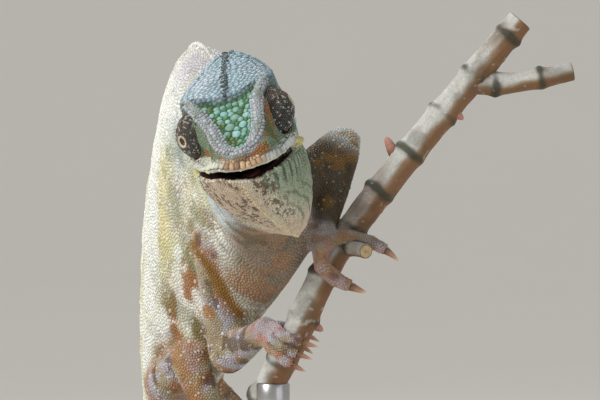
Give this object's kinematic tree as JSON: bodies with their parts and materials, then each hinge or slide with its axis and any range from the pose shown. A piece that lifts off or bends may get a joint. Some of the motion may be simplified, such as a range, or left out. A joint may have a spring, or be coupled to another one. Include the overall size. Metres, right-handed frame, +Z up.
{
  "type": "chameleon on a perch",
  "caption": "Life-size chameleon gripping a slanting cut branch, head turned with the mouth ajar, high narrow trunk and coiled tail, held over a flat base by a rod.",
  "frame": {"origin": "middle of the stand base's underside, on the surface that it stands on", "axes": "+Z up, -Y the way the head looks, +X towards the animal's left"},
  "size_m": [0.1462, 0.1534, 0.1995],
  "materials": {
    "skin": "dry scaly skin, satin, in cream, olive, tan and pale blue-grey",
    "eyelid": "finely beaded dark grey-brown skin with pale dots",
    "eye": "wet, glossy, near black with a pale ring",
    "mouth": "moist dark pink flesh",
    "claw": "smooth satin horn",
    "bark": "thin grey-brown bark with dark node rings and pale cut ends",
    "stand_wood": "dark stained hardwood, satin varnish",
    "stand_metal": "fine brushed along its length"
  },
  "bodies": {
    "root": {"head": "skin", "lower_jaw": "skin", "throat": "skin", "neck": "skin", "trunk_front": "skin", "trunk_rear": "skin", "tail_base": "skin", "tail_middle": "skin", "tail_tip": "skin", "upper_arm_left": "skin", "upper_arm_right": "skin", "forearm_left": "skin", "forearm_right": "skin", "hand_left": "skin", "hand_right": "skin", "thigh_left": "skin", "thigh_right": "skin", "shin_left": "skin", "shin_right": "skin", "foot_left": "skin", "foot_right": "skin", "eye_turret_left": "eyelid", "eye_turret_right": "eyelid", "eye_left": "eye", "eye_right": "eye", "tongue": "mouth", "perch_branch": "bark", "stand_base": "stand_wood", "stand_rod": "stand_metal"}
  },
  "joints": []
}
